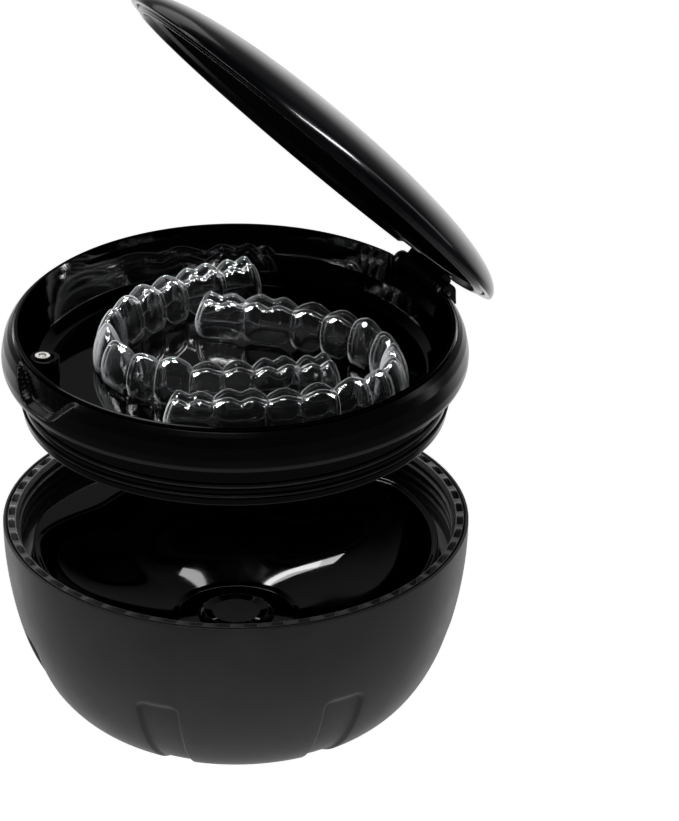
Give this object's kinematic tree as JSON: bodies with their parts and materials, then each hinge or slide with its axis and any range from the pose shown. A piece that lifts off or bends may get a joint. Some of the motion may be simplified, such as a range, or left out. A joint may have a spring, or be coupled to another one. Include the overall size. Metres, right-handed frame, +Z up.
{
  "type": "aligner guard case",
  "caption": "Round case for clear dental guards: soak bowl, lift-off tray with hinged dome lid, two guards lying in the tray.",
  "frame": {"origin": "middle of the bowl's flat base, on the surface that the case stands on", "axes": "+Z up, lid hinge toward +Y, thumb scoop toward -Y, hinge axis along X"},
  "size_m": [0.0949, 0.0975, 0.1579],
  "materials": {
    "soft_touch_shell": "soft-touch matte black",
    "satin_collar": "satin black",
    "gloss_liner": "piano black",
    "gloss_tray": "piano black",
    "gloss_band": "gloss black",
    "seal_rubber": "satin silicone",
    "magnet_plating": "nickel plate",
    "hinge_plastic": "semi-gloss black",
    "pin_steel": "bright drawn steel",
    "gloss_lid": "piano black",
    "satin_lid_liner": "semi-gloss black",
    "clear_guard": "clear thermoformed sheet"
  },
  "bodies": {
    "bowl": {"bowl_shell": "soft_touch_shell", "rim_collar": "satin_collar", "bowl_liner": "gloss_liner", "liner_plug": "gloss_liner"},
    "tray": {"tray_dish": "gloss_tray", "tray_band": "gloss_band", "seal_ring_upper": "seal_rubber", "seal_ring_lower": "seal_rubber", "tray_magnet": "magnet_plating", "hinge_bracket": "hinge_plastic", "hinge_pin": "pin_steel"},
    "lid": {"lid_shell": "gloss_lid", "lid_liner": "satin_lid_liner", "lid_magnet": "magnet_plating", "hinge_knuckle": "hinge_plastic"},
    "upper_guard": {"upper_guard": "clear_guard"},
    "lower_guard": {"lower_guard": "clear_guard"}
  },
  "joints": [
    {"name": "tray_lift", "type": "slide", "parent": "bowl", "child": "tray", "axis": [0, 0, 1], "range_m": [-0.0345, 0.02]},
    {"name": "lid_hinge", "type": "hinge", "parent": "tray", "child": "lid", "pos_m": [0, 0.0453, 0.0852], "axis": [-1, 0, 0], "range_deg": [-49, 46]},
    {"name": "upper_guard_lift", "type": "slide", "parent": "tray", "child": "upper_guard", "axis": [0, 0, 1], "range_m": [0, 0.004]},
    {"name": "lower_guard_lift", "type": "slide", "parent": "tray", "child": "lower_guard", "axis": [0, 0, 1], "range_m": [0, 0.004]}
  ]
}
